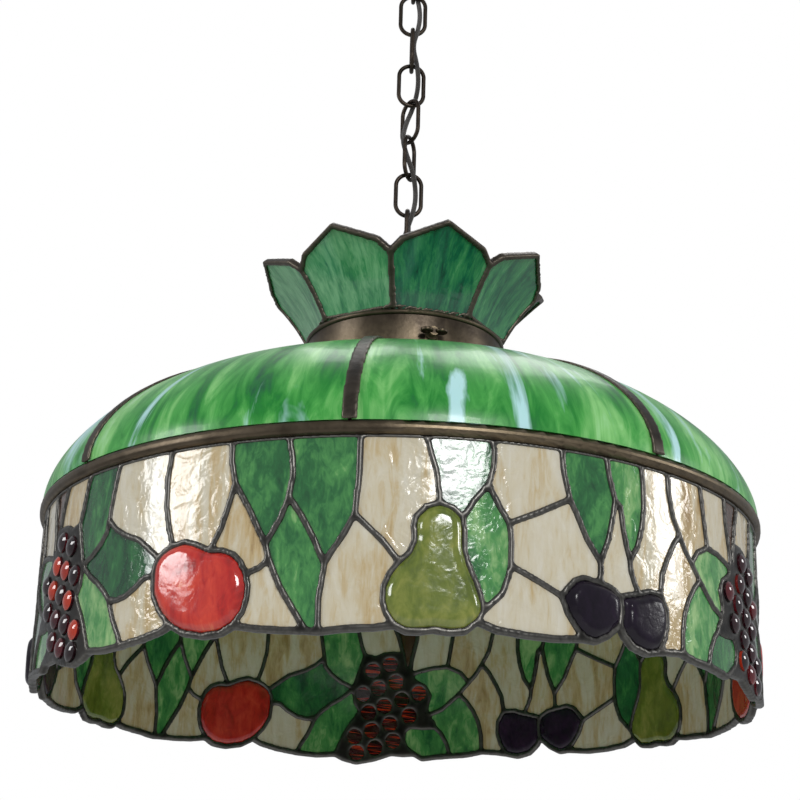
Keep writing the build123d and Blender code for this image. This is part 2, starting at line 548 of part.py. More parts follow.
def canopy_loop():
    """The loop under the canopy, on a threaded stem that the screw collar runs on."""
    body = eye(CANOPY_LOOP, LINK_YAWS[-1] + 90, (10, CANOPY_LOOP + LOOP_RADIUS - 2, 777))
    body = body - rod(CORD_WIDTH / 2 + 1.0, CANOPY_LOOP + 2, 800)
    return body - rod(PIPE_RADIUS + 0.05, 764, 800)


def cord_route():
    """The cord's points: down from the canopy, round the chain and into the pipe."""
    points = []
    angle = LINK_YAWS[0] + 180
    sides = [angle]
    for below, above in zip(LINK_YAWS, LINK_YAWS[1:]):
        swing = (above - below) % 180
        angle = angle + swing if swing >= 90 else angle - (180 - swing)
        sides.append(angle)
    first_swing = 90
    points.append((0, 0, 290))
    points.append((0, 0, 330))
    points.append((0.1, 0, TOP_LOOP - LOOP_ENTRY))
    lowest = sides[0] - first_swing / 2
    points.append(polar_point(CORD_OFFSET, lowest, LOWEST_LINK - LINK_REACH - 1))
    points.append(polar_point(CORD_OFFSET, lowest, LOWEST_LINK - 16))
    for index, side in enumerate(sides):
        points.append(polar_point(CORD_OFFSET, side, link_height(index)))
        following = sides[index + 1] if index + 1 < len(sides) else side + first_swing
        between = (side + following) / 2
        if index + 1 < len(sides):
            points.append(polar_point(CORD_OFFSET, between, link_height(index) + LINK_PITCH / 2))
        else:
            points.append(polar_point(CORD_OFFSET, between, link_height(index) + 16))
            points.append(polar_point(CORD_OFFSET, between, link_height(index) + LINK_REACH + 1))
    points.append((-0.1, 0, CANOPY_LOOP + LOOP_ENTRY))
    points.append((0, 0, CEILING - 12))
    return points


def polar_point(radius, angle, height):
    """The (x, y, z) of a point given by radius, angle in degrees and height."""
    turn = math.radians(angle)
    return (radius * math.cos(turn), radius * math.sin(turn), height)


def corner_radii(points, share=0.45):
    """The arc radius for each corner of a route, as large as its two runs allow."""
    radii = []
    for before, here, after in zip(points, points[1:], points[2:]):
        run_in = Vector(here) - Vector(before)
        run_out = Vector(after) - Vector(here)
        turn = math.radians(run_in.get_angle(run_out))
        shorter = min(run_in.length, run_out.length)
        radii.append(share * shorter / math.tan(turn / 2))
    return radii


def tube(points, width, label):
    """A tube along straight runs joined by arcs that touch them."""
    radii = corner_radii(points)
    path = FilletPolyline(*points, radius=radii)
    start = Plane(origin=path @ 0, z_dir=path % 0)
    body = sweep(start * Circle(width / 2), path=path)
    print(label, "radii", [round(r, 1) for r in radii])
    print(label, "volume ratio", round(body.volume / (math.pi * width ** 2 / 4 * path.length), 4),
          "length", round(path.length, 1))
    return body


def spider():
    """Three flat arms that carry the collar on the pipe."""
    body = rod(13, 315, 319)
    for turn in THIRD_TURNS:
        arm = facing_plane(75 + turn, 317, COLLAR_RADIUS / 2 + 2) * Box(14, 4, COLLAR_RADIUS - 8)
        body = body + (arm & rod(COLLAR_RADIUS - COLLAR_WALL, 310, 325))
    return body - rod(PIPE_RADIUS + 0.1, 300, 330)


def hex_nut(low):
    nut = Pos(0, 0, low) * extrude(RegularPolygon(8.5, 6), amount=4)
    return nut - rod(PIPE_RADIUS + 0.05, low - 1, low + 6)


def around(solid):
    """Copies of one socket's solid in all three places."""
    return [Rot(0, 0, ARM_ANGLE + turn) * solid for turn in THIRD_TURNS]


def at_socket(solid):
    """A solid drawn round the lamp's axis, moved out to the front socket."""
    return Pos(0, -SOCKET_RADIUS, 0) * solid


def hub():
    """The hollow body that the socket arms branch from."""
    body = rod(27, HUB_HEIGHT - 14, HUB_HEIGHT + 12) - rod(25, HUB_HEIGHT - 12, HUB_HEIGHT + 20)
    body = body - rod(PIPE_RADIUS + 0.1, HUB_HEIGHT - 20, HUB_HEIGHT)
    for turn in THIRD_TURNS:
        body = body - facing_plane(ARM_ANGLE + turn, HUB_HEIGHT, 26) * Cylinder(5.1, 20)
    return body


def hub_lid():
    lid = rod(27, HUB_HEIGHT + 12, HUB_HEIGHT + 14) + ring(24.8, 22.8, HUB_HEIGHT + 8, HUB_HEIGHT + 12)
    return lid - rod(PIPE_RADIUS + 0.1, HUB_HEIGHT, HUB_HEIGHT + 20)


def socket_arm():
    """A bent tube from the hub to the top of a socket."""
    path = FilletPolyline((0, -22, HUB_HEIGHT), (0, -SOCKET_RADIUS, HUB_HEIGHT),
                          (0, -SOCKET_RADIUS, SOCKET_TOP - 4), radius=13)
    start = Plane(origin=path @ 0, z_dir=path % 0)
    return sweep(start * Circle(5), path=path) - sweep(start * Circle(3.6), path=path)


def socket_lead():
    """The pair of wires inside a socket arm, in one sleeve."""
    points = [(0, -12, HUB_HEIGHT), (0, -SOCKET_RADIUS, HUB_HEIGHT), (0, -SOCKET_RADIUS, SOCKET_TOP - 14)]
    path = FilletPolyline(*points, radius=13)
    return sweep(Plane(origin=path @ 0, z_dir=path % 0) * Circle(1.8), path=path)


def socket_cap():
    """The domed cap of a socket."""
    cap = rod(17, SOCKET_TOP - 20, SOCKET_TOP)
    cap = fillet(cap.edges().group_by(Axis.Z)[-1], 8)
    cap = cap - rod(15.8, SOCKET_TOP - 21, SOCKET_TOP - 5)
    return at_socket(cap - rod(5.1, SOCKET_TOP - 10, SOCKET_TOP + 5))


def socket_shell():
    shell = ring(17, 16, SOCKET_TOP - 62, SOCKET_TOP - 20)
    return at_socket(shell) - key_axis(2.6, 30)


def key_axis(radius, length):
    """A rod along a socket's key, reaching out from the socket's middle."""
    plane = Plane(origin=(0, -SOCKET_RADIUS - 8, SOCKET_TOP - 30), z_dir=(0, -1, 0))
    return plane * Cylinder(radius, length, align=(Align.CENTER, Align.CENTER, Align.MIN))


def socket_body():
    """The insulating body inside a socket, with the threaded screw shell's bore."""
    body = rod(15.9, SOCKET_TOP - 62, SOCKET_TOP - 22) - rod(13.4, SOCKET_TOP - 63, SOCKET_TOP - 37)
    return at_socket(body) - key_axis(2.4, 30)


def socket_key():
    """The turn knob of a socket: a spindle and a flat oval knob."""
    plane = Plane(origin=(0, -SOCKET_RADIUS, SOCKET_TOP - 30), z_dir=(0, -1, 0))
    spindle = Pos(0, 0, 10) * Cylinder(2, 20, align=(Align.CENTER, Align.CENTER, Align.MIN))
    oval = extrude(Ellipse(8, 4), amount=7)
    knob = Pos(0, 0, 28) * fillet(oval.edges(), 1.2)
    return plane * (spindle + knob)


def bulb_base():
    body = rod(13, SOCKET_TOP - 68, SOCKET_TOP - 43) + rod(9, SOCKET_TOP - 43, SOCKET_TOP - 40)
    contact = rod(4, SOCKET_TOP - 40, SOCKET_TOP - 38)
    return at_socket(body + contact)


def bulb_globe():
    """The glass of a bulb, turned from its outline: neck, shoulder and round end."""
    neck = SOCKET_TOP - 68
    centre = neck - 54
    outline = [
        Line((0, neck), (12.6, neck)),
        Spline((12.6, neck), (17, neck - 20), (29.5, centre + 5), (30, centre), tangents=[(0, -1), (0, -1)]),
        RadiusArc((30, centre), (0, centre - 30), 30),
        Line((0, centre - 30), (0, neck)),
    ]
    return at_socket(revolve(Plane.XZ * make_face(outline), Axis.Z))


def mounting_strap():
    strap = Pos(0, 0, CEILING - 1.25) * Box(104, 19, 2.5)
    for side in (-1, 1):
        strap = strap - Pos(side * STRAP_SPACING / 2, 0, 0) * rod(SCREW_HOLE, CEILING - 5, CEILING + 5)
    return strap - rod(PIPE_RADIUS + 0.05, CEILING - 5, CEILING + 5)


def canopy():
    """A spun dish against the ceiling, with a hole for the loop's stem."""
    low = CEILING - CANOPY_DEPTH
    outline = [
        Line((11, low), (26, low)),
        Spline((26, low), (48, CEILING - 20), (58, CEILING - 7), tangents=[(1, 0), (0.3, 1)]),
        Line((58, CEILING - 7), (CANOPY_RADIUS, CEILING - 6)),
        Line((CANOPY_RADIUS, CEILING - 6), (CANOPY_RADIUS, CEILING)),
        Line((CANOPY_RADIUS, CEILING), (CANOPY_RADIUS - 1.3, CEILING)),
        Line((CANOPY_RADIUS - 1.3, CEILING), (CANOPY_RADIUS - 1.3, CEILING - 4.8)),
        Line((CANOPY_RADIUS - 1.3, CEILING - 4.8), (56.4, CEILING - 5.8)),
        Spline((56.4, CEILING - 5.8), (47, CEILING - 18.6), (26, low + 1.3), tangents=[(-0.3, -1), (-1, 0)]),
        Line((26, low + 1.3), (11, low + 1.3)),
        Line((11, low + 1.3), (11, low)),
    ]
    return revolve(Plane.XZ * make_face(outline), Axis.Z)


def canopy_collar():
    """The knurled ring that holds the canopy up and runs on the loop's stem."""
    top = CEILING - CANOPY_DEPTH - 0.3
    body = rod(16, top - 7, top)
    body = fillet(body.edges().group_by(Axis.Z)[0], 2)
    for n in range(24):
        body = body - Rot(0, 0, 15 * n) * Pos(16.6, 0, 0) * rod(1.3, top - 10, top + 5)
    return body - rod(10.3, top - 10, top + 5)


def save(name, shape):
    """Write one sub-part, hung from the ceiling."""
    solids = []
    for piece in (shape if isinstance(shape, list) else [shape]):
        solids += piece.solids()
    moved = [Pos(0, 0, -CEILING) * solid for solid in solids]
    export_step(moved[0] if len(moved) == 1 else Compound(children=moved), f"parts/{name}.step")


def all_glass(groups):
    inner = SHADE_RADIUS - CAME_THICKNESS + 1.5
    return [solid for names in groups for solid in glass_pieces(names, inner, inner + 3)]


def main():
    os.makedirs("parts", exist_ok=True)
    save("mounting_strap", mounting_strap())
    save("canopy", canopy())
    save("canopy_nipple", ring(PIPE_RADIUS, PIPE_BORE, 766, CEILING))
    save("canopy_lock_nut", hex_nut(CEILING - 7))
    save("canopy_loop", canopy_loop())
    save("canopy_collar", canopy_collar())
    save("power_cord", tube(cord_route(), CORD_WIDTH, "cord"))
    for index, yaw in enumerate(reversed(LINK_YAWS)):
        height = link_height(len(LINK_YAWS) - 1 - index)
        save(f"chain_link_{index + 1}", Pos(0, 0, height) * Rot(0, 0, yaw) * chain_link())

    save("top_loop", top_loop())
    save("pipe", ring(PIPE_RADIUS, PIPE_BORE, HUB_HEIGHT - 22, 361.5))
    save("lock_nuts", [hex_nut(319), hex_nut(311), hex_nut(HUB_HEIGHT + 14), hex_nut(HUB_HEIGHT - 18)])
    save("spider", spider())
    save("collar", collar())
    save("crown_glass", crown_glass())
    save("crown_came", crown_came())
    save("dome_neck", dome_neck())
    save("dome_glass", dome_panels())
    save("dome_ribs", dome_ribs())
    save("band", band())
    save("skirt_came", skirt_came())
    save("cream_glass", thirds(all_glass(CREAM_GLASS.values())))
    save("leaf_glass", thirds(all_glass(LEAF_GLASS.values())))
    save("stalk_glass", thirds(all_glass([STALK_GLASS])))
    save("apples", thirds(domed_fruit(APPLE_GLASS)))
    save("pears", thirds(domed_fruit(PEAR_GLASS)))
    save("plums", thirds([solid for names in PLUM_GLASS for solid in domed_fruit(names)]))
    save("grapes", thirds([jewel(angle, height) for angle, height in GRAPES]))

    save("socket_hub", hub())
    save("socket_hub_lid", hub_lid())
    save("socket_arms", around(socket_arm()))
    save("socket_leads", around(socket_lead()))
    save("socket_caps", around(socket_cap()))
    save("socket_shells", around(socket_shell()))
    save("socket_bodies", around(socket_body()))
    keys = around(socket_key())
    globes = around(bulb_globe())
    bases = around(bulb_base())
    for n, turn in enumerate(THIRD_TURNS):
        place = on_collar(THUMB_SCREW_ANGLE + turn, THUMB_SCREW_HEIGHT)
        save(f"thumb_screw_{n + 1}", place * thumb_screw())
        save(f"socket_key_{n + 1}", keys[n])
        save(f"bulb_globe_{n + 1}", globes[n])
        save(f"bulb_base_{n + 1}", bases[n])


main()
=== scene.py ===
import json
import math

import bpy
import bmesh
from mathutils import Matrix, Vector


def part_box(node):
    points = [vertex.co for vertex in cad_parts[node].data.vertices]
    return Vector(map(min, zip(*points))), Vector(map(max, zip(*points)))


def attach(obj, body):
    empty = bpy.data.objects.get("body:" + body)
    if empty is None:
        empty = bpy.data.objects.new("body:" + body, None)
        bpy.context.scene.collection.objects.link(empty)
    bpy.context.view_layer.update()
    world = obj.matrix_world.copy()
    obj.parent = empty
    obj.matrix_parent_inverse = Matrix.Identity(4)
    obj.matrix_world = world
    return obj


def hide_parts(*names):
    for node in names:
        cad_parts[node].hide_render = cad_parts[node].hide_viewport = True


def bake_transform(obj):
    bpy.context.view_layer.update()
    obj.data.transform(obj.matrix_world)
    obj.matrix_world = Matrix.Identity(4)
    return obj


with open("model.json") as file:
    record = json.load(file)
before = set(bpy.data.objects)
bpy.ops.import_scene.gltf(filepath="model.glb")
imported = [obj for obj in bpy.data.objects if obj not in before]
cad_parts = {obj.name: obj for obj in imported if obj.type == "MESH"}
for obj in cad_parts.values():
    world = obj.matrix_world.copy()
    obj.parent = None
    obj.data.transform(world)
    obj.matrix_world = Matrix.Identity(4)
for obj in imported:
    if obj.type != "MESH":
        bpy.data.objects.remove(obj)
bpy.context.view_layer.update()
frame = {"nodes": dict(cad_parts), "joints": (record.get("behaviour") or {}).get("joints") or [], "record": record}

NODES = frame["nodes"]
RIM_Z = -0.795                       # mean lower rim of the shade
SHADE_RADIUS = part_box("skirt_came")[1].x
PIVOTS = {joint["child"]: joint["pos_m"][2] for joint in frame["joints"]}
LINKS = 9
LINK_PITCH = PIVOTS["link_8"] - PIVOTS["link_9"]
LOWEST_LINK = PIVOTS["shade"] + 0.0218     # the lowest link's centre
CAMERA_PITCH = 0.3469                # radians, looking up
CAMERA_YAW = -0.002
CAMERA_ROLL = 0.0262
CAMERA_PLACE = (0, -1.4463, RIM_Z - 0.2471)
SENSOR_WIDTH = 36.0
FOCAL_LENGTHS_IN_PIXELS = 1700.4
IMAGE_WIDTH = 800.0
ISLAND_SPREAD = 37.0                 # keeps the pieces' glass patterns apart
CORD_RADIUS = 0.0023
CORD_OFFSET = 0.0073


# ---- node helpers ----

class Shader:
    """A material under construction, with short calls for its nodes."""

    def __init__(self, name):
        self.material = bpy.data.materials.new(name)
        self.material.use_nodes = True
        self.tree = self.material.node_tree
        self.surface = self.tree.nodes["Principled BSDF"]

    def node(self, kind, **values):
        made = self.tree.nodes.new(kind)
        for key, value in values.items():
            setattr(made, key, value)
        return made

    def link(self, source, target):
        self.tree.links.new(source, target)

    def feed(self, socket, value):
        if isinstance(value, (int, float, tuple)):
            socket.default_value = value
        else:
            self.link(value, socket)

    def math(self, operation, first, second=0.0):
        made = self.node("ShaderNodeMath", operation=operation)
        self.feed(made.inputs[0], first)
        self.feed(made.inputs[1], second)
        return made.outputs[0]

    def noise(self, vector, scale, detail=4.0, distortion=0.0, roughness=0.55):
        made = self.node("ShaderNodeTexNoise")
        self.link(vector, made.inputs["Vector"])
        made.inputs["Scale"].default_value = scale
        made.inputs["Detail"].default_value = detail
        made.inputs["Distortion"].default_value = distortion
        made.inputs["Roughness"].default_value = roughness
        return made.outputs["Fac"]

    def ramp(self, factor, stops):
        made = self.node("ShaderNodeValToRGB")
        self.link(factor, made.inputs[0])
        elements = made.color_ramp.elements
        while len(elements) < len(stops):
            elements.new(0.5)
        for element, (place, color) in zip(elements, stops):
            element.position = place
            element.color = (*color, 1.0)
        return made.outputs["Color"]

    def mix(self, factor, first, second):
        made = self.node("ShaderNodeMix", data_type="RGBA")
        self.feed(made.inputs["Factor"], factor)
        for socket, value in ((made.inputs["A"], first), (made.inputs["B"], second)):
            self.feed(socket, (*value, 1.0) if isinstance(value, tuple) else value)
        return made.outputs["Result"]

    def position(self):
        return self.node("ShaderNodeTexCoord").outputs["Object"]

    def bump(self, height, distance, strength=1.0, below=None):
        made = self.node("ShaderNodeBump")
        made.inputs["Distance"].default_value = distance
        made.inputs["Strength"].default_value = strength
        self.link(height, made.inputs["Height"])
        if below is not None:
            self.link(below, made.inputs["Normal"])
        return made.outputs["Normal"]

    def set(self, **values):
        for name, value in values.items():
            self.feed(self.surface.inputs[name.replace("_", " ")], value)


def unrolled(shader, cut_degrees, across, along):
    """The lamp's wall unrolled flat: arc length, height and a number for each piece."""
    split = shader.node("ShaderNodeSeparateXYZ")
    turn = shader.node("ShaderNodeVectorRotate", rotation_type="Z_AXIS")
    turn.inputs["Angle"].default_value = math.radians(-cut_degrees)
    shader.link(shader.position(), turn.inputs["Vector"])
    shader.link(turn.outputs["Vector"], split.inputs[0])
    backward = shader.math("MULTIPLY", split.outputs["Y"], -1.0)
    angle = shader.math("ARCTAN2", split.outputs["X"], backward)
    island = shader.node("ShaderNodeNewGeometry").outputs["Random Per Island"]
    joined = shader.node("ShaderNodeCombineXYZ")
    shader.link(shader.math("MULTIPLY", angle, SHADE_RADIUS * across), joined.inputs["X"])
    shader.link(shader.math("MULTIPLY", split.outputs["Z"], along), joined.inputs["Y"])
    shader.link(shader.math("MULTIPLY", island, ISLAND_SPREAD), joined.inputs["Z"])
    return joined.outputs[0], island


def streaky_glass(name, colors, across=24.0, along=8.0, cut=-7.0, swirl=0.8, ripple=0.0004,
                  ripple_scale=110.0, lean=0.0, spread=0.25, rough=0.12, wisps=None, glow=0.12,
                  coat=0.5, shine=0.5):
    """Hand-rolled opalescent glass: streaks of colour, a rippled skin and a soft inner glow."""
    shader = Shader(name)
    flat, island = unrolled(shader, cut, across, along)
    turn = shader.node("ShaderNodeVectorRotate", rotation_type="Z_AXIS")
    shader.link(flat, turn.inputs["Vector"])
    swing = shader.math("MULTIPLY", shader.math("SUBTRACT", island, 0.5), lean)
    shader.link(swing, turn.inputs["Angle"])
    vector = turn.outputs["Vector"]
    broad = shader.noise(vector, 0.9, 3.0, swirl)
    fine = shader.noise(vector, 2.6, 8.0, swirl * 1.6, 0.62)
    streak = shader.math("ADD", shader.math("MULTIPLY", broad, 0.62),
                         shader.math("MULTIPLY", fine, 0.38))
    tint = shader.math("MULTIPLY", shader.math("SUBTRACT", island, 0.5), spread)
    shifted = shader.math("ADD", streak, tint)
    color = shader.ramp(shifted, colors)
    if wisps:
        wisp_color, start, end = wisps
        fog = shader.noise(vector, 0.7, 5.0, 1.4)
        mask = shader.ramp(fog, [(start, (0, 0, 0)), (end, (1, 1, 1))])
        color = shader.mix(mask, color, wisp_color)
    skin = shader.noise(shader.position(), ripple_scale, 2.0, 0.6)
    grain = shader.noise(shader.position(), ripple_scale * 6, 3.0)
    normal = shader.bump(skin, ripple)
    normal = shader.bump(grain, ripple * 0.10, below=normal)
    gloss = shader.math("ADD", shader.math("MULTIPLY", grain, 0.10), rough - 0.04)
    shader.set(Base_Color=color, Roughness=gloss, Normal=normal, Coat_Weight=coat,
               Coat_Roughness=0.05,
               Specular_IOR_Level=shine,
               Subsurface_Weight=glow, Subsurface_Radius=(0.02, 0.02, 0.015), Subsurface_Scale=0.3)
    return shader.material


def metal(name, dark, worn, bright, rough=0.42, wear_and_highlight=0.5, grain=260.0, depth=0.00012,
          metallic=0.85):
    """Patinated metal: blotched tone, edges lighter as rubbed wear and as a painted highlight, and a slightly
    pitted skin.
    """
    shader = Shader(name)
    where = shader.position()
    blotch = shader.noise(where, 38.0, 6.0, 0.5)
    pits = shader.noise(where, grain, 4.0)
    tone = shader.ramp(blotch, [(0.34, dark), (0.68, worn)])
    # Pointed edges and ridges are painted lighter: partly rubbed wear, partly a painted highlight.
    pointed = shader.node("ShaderNodeNewGeometry").outputs["Pointiness"]
    rubbed_and_highlight = shader.ramp(pointed, [(0.50, (0, 0, 0)), (0.60, (1, 1, 1))])
    rubbed_and_highlight = shader.math("MULTIPLY", shader.math("MULTIPLY", rubbed_and_highlight, wear_and_highlight),
                         shader.math("ADD", pits, 0.35))
    color = shader.mix(rubbed_and_highlight, tone, bright)
    gloss = shader.math("ADD", shader.math("MULTIPLY", pits, 0.30), rough - 0.15)
    shader.set(Base_Color=color, Metallic=metallic, Roughness=gloss,
               Normal=shader.bump(pits, depth, below=shader.bump(blotch, depth * 3)))
    return shader.material


def braid_material(name, dark, light):
    """Woven sleeve: two sets of threads crossing round the cord."""
    shader = Shader(name)
    uv = shader.node("ShaderNodeTexCoord").outputs["UV"]
    split = shader.node("ShaderNodeSeparateXYZ")
    shader.link(uv, split.inputs[0])
    waves = []
    for sign in (1.0, -1.0):
        phase = shader.math("ADD", shader.math("MULTIPLY", split.outputs["X"], 6 * 2 * math.pi),
                            shader.math("MULTIPLY", split.outputs["Y"], sign * 2 * math.pi * 620.0))
        waves.append(shader.math("SINE", phase))
    weave = shader.math("MAXIMUM", waves[0], waves[1])
    soil = shader.noise(shader.position(), 90.0, 4.0)
    color = shader.mix(soil, shader.ramp(weave, [(0.2, dark), (0.95, light)]), dark)
    shader.set(Base_Color=color, Roughness=0.85, Normal=shader.bump(weave, 0.0003),
               Sheen_Weight=0.3)
    return shader.material


# ---- materials ----

CUT = -1.5                            # the skirt's unrolling starts on a stalk at the back
LEAVES = streaky_glass("leaf glass", [(0.30, (0.004, 0.05, 0.018)), (0.45, (0.018, 0.13, 0.035)),
                                      (0.58, (0.07, 0.27, 0.07)), (0.72, (0.30, 0.50, 0.20))],
                       60.0, 26.0, CUT, lean=1.6, spread=0.30, ripple=0.0006, ripple_scale=90.0)
CREAM = streaky_glass("cream glass", [(0.26, (0.30, 0.19, 0.07)), (0.40, (0.50, 0.38, 0.20)),
                                      (0.52, (0.58, 0.52, 0.38)), (0.74, (0.66, 0.63, 0.54))],
                      70.0, 16.0, CUT, lean=0.9, spread=0.16, ripple=0.0013, ripple_scale=62.0,
                      rough=0.10)
DOME = streaky_glass("dome glass", [(0.34, (0.002, 0.075, 0.035)), (0.43, (0.008, 0.20, 0.022)),
                                    (0.51, (0.06, 0.34, 0.06)), (0.60, (0.22, 0.55, 0.17)),
                                    (0.72, (0.42, 0.72, 0.42))],
                     22.0, 6.5, lean=1.0, spread=0.08, ripple=0.00018, ripple_scale=45.0,
                     rough=0.30,
                     wisps=((0.46, 0.74, 0.74), 0.55, 0.66), glow=0.15, coat=0.12, shine=0.35)
CROWN = streaky_glass("crown glass", [(0.28, (0.002, 0.045, 0.03)), (0.42, (0.006, 0.13, 0.06)),
                                      (0.56, (0.04, 0.25, 0.09)), (0.72, (0.16, 0.42, 0.20))],
                      40.0, 34.0, lean=2.8, spread=0.24, ripple=0.0003, ripple_scale=70.0)
APPLE = streaky_glass("apple glass", [(0.30, (0.16, 0.005, 0.004)), (0.46, (0.46, 0.016, 0.012)),
                                      (0.60, (0.62, 0.050, 0.025)), (0.74, (0.72, 0.22, 0.08))],
                      50.0, 24.0, CUT, lean=0.6, spread=0.05, ripple=0.0004, ripple_scale=70.0)
PEAR = streaky_glass("pear glass", [(0.28, (0.05, 0.08, 0.008)), (0.48, (0.13, 0.17, 0.02)),
                                    (0.62, (0.24, 0.26, 0.05)), (0.78, (0.40, 0.36, 0.10))],
                     50.0, 30.0, CUT, lean=0.6, spread=0.05, ripple=0.0004, ripple_scale=70.0)
PLUM = streaky_glass("plum glass", [(0.3, (0.004, 0.002, 0.006)), (0.55, (0.010, 0.005, 0.014)),
                                    (0.8, (0.03, 0.012, 0.035))], 50.0, 30.0, CUT, ripple=0.0003,
                     rough=0.22, glow=0.0, coat=0.10, shine=0.25)
GRAPE = streaky_glass("grape glass", [(0.25, (0.010, 0.001, 0.003)), (0.60, (0.028, 0.002, 0.006)),
                                      (0.80, (0.10, 0.004, 0.008)), (0.95, (0.42, 0.03, 0.008))],
                      6.0, 6.0, CUT, spread=1.1, ripple=0.0001, rough=0.06)
STALK = streaky_glass("stalk glass", [(0.3, (0.02, 0.008, 0.003)), (0.55, (0.06, 0.022, 0.008)),
                                      (0.8, (0.14, 0.06, 0.02))], 70.0, 14.0, CUT, ripple=0.0006)
# On the solder, the lighter colour along the ridges is a painted highlight.
SOLDER = metal("solder", (0.010, 0.009, 0.008), (0.045, 0.041, 0.036), (0.42, 0.41, 0.38),
               0.34, 0.5)
BRONZE = metal("aged bronze", (0.030, 0.022, 0.015), (0.085, 0.066, 0.047), (0.50, 0.39, 0.24),
               0.40, 0.6)
RIB = metal("rib metal", (0.022, 0.018, 0.014), (0.070, 0.058, 0.046), (0.36, 0.31, 0.24),
            0.42, 0.5)
CHAIN = metal("chain bronze", (0.014, 0.011, 0.009), (0.040, 0.030, 0.023), (0.22, 0.17, 0.12),
              0.40, 0.5)
BRASS = metal("socket brass", (0.30, 0.20, 0.07), (0.50, 0.36, 0.15), (0.75, 0.60, 0.32), 0.30, 0.4)
STEEL = metal("plated steel", (0.26, 0.25, 0.23), (0.42, 0.41, 0.38), (0.62, 0.61, 0.58), 0.34, 0.4)
ALUMINIUM = metal("cap aluminium", (0.45, 0.45, 0.46), (0.6, 0.6, 0.61), (0.8, 0.8, 0.8), 0.30, 0.3)
PHENOLIC = metal("moulded insulation", (0.010, 0.008, 0.007), (0.03, 0.022, 0.018), (0.08,
                                                                                     0.06, 0.05),
                 0.35, 0.3, metallic=0.0)
CORD = braid_material("cord braid", (0.016, 0.013, 0.011), (0.075, 0.062, 0.052))
FROSTED = streaky_glass("frosted bulb", [(0.3, (0.80, 0.80, 0.78)), (0.7, (0.86, 0.86, 0.84))],
                        20.0, 20.0, ripple=0.00002, rough=0.35)

FINISHES = {
    "lead_came": SOLDER, "aged_bronze": BRONZE, "dark_chain": CHAIN, "cream_glass": CREAM,
    "leaf_glass": LEAVES, "dome_glass": DOME, "crown_glass": CROWN, "apple_glass": APPLE,
    "pear_glass": PEAR, "plum_glass": PLUM, "grape_glass": GRAPE, "stalk_glass": STALK,
    "cord_braid": CORD, "socket_brass": BRASS, "socket_insulation": PHENOLIC,
    "bulb_glass": FROSTED, "bulb_metal": ALUMINIUM, "plated_steel": STEEL,
}
SLOT_OF = {entry["node"]: entry["material_slot"] for entry in frame["record"]["subparts"]}
BODY_OF = {node: body for body, nodes in frame["record"]["behaviour"]["bodies"].items()
           for node in nodes}


def finish_node(name, material=None):
    """Give a CAD node its procedural material."""
    node = NODES[name]
    node.data.materials.clear()
    node.data.materials.append(material or FINISHES[SLOT_OF[name]])


def add_piece(mesh, name, node, material=None):
    """A new piece that stands for a CAD node and rides on its body."""
    piece = bpy.data.objects.new(name, mesh)
    bpy.context.scene.collection.objects.link(piece)
    mesh.materials.clear()
    mesh.materials.append(material or FINISHES[SLOT_OF[node]])
    for polygon in mesh.polygons:
        polygon.use_smooth = True
    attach(piece, BODY_OF[node])
    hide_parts(node)
    return piece


def softened(node, voxel, rounds, name, swell=0.0, material=None):
    """A CAD node's solids with their edges melted round, as solder and pressed glass are."""
    source = NODES[node].data.copy()
    bm = bmesh.new()
    bm.from_mesh(source)
    bmesh.ops.remove_doubles(bm, verts=bm.verts, dist=1e-6)
    bm.to_mesh(source)
    bm.free()
    holder = bpy.data.objects.new(name + "_source", source)
    bpy.context.scene.collection.objects.link(holder)
    remesh = holder.modifiers.new("remesh", "REMESH")
    remesh.mode = "VOXEL"
    remesh.voxel_size = voxel
    smooth = holder.modifiers.new("smooth", "SMOOTH")
    smooth.factor = 0.5
    smooth.iterations = rounds
    if swell:
        displace = holder.modifiers.new("swell", "DISPLACE")
        displace.strength = swell
        displace.mid_level = 0.0
    depsgraph = bpy.context.evaluated_depsgraph_get()
    mesh = bpy.data.meshes.new_from_object(holder.evaluated_get(depsgraph))
    bpy.data.objects.remove(holder)
    return add_piece(mesh, name, node, material)


# ---- the camera, floor and lights ----

def make_camera():
    """The photograph's view: from below and in front, looking up at the shade."""
    camera = bpy.data.objects.new("camera", bpy.data.cameras.new("camera"))
    bpy.context.scene.collection.objects.link(camera)
    flat = math.cos(CAMERA_PITCH)
    forward = Vector((math.sin(CAMERA_YAW) * flat, math.cos(CAMERA_YAW) * flat,
                      math.sin(CAMERA_PITCH)))
    level = Vector((math.cos(CAMERA_YAW), -math.sin(CAMERA_YAW), 0))
    upright = level.cross(forward)
    right = level * math.cos(CAMERA_ROLL) + upright * math.sin(CAMERA_ROLL)
    up = upright * math.cos(CAMERA_ROLL) - level * math.sin(CAMERA_ROLL)
    turned = Matrix((right, up, -forward)).transposed().to_4x4()
    camera.matrix_world = Matrix.Translation(CAMERA_PLACE) @ turned
    camera.data.sensor_width = SENSOR_WIDTH
    camera.data.lens = SENSOR_WIDTH * FOCAL_LENGTHS_IN_PIXELS / IMAGE_WIDTH
    camera.data.clip_end = 50.0
    bpy.context.scene.camera = camera


def make_light(name, place, target, size, power):
    """A square soft light that faces a target."""
    light = bpy.data.objects.new(name, bpy.data.lights.new(name, "AREA"))
    light.data.energy = power
    light.data.size = size
    light.location = place
    light.rotation_euler = (Vector(target) - Vector(place)).to_track_quat("-Z", "Y").to_euler()
    bpy.context.scene.collection.objects.link(light)


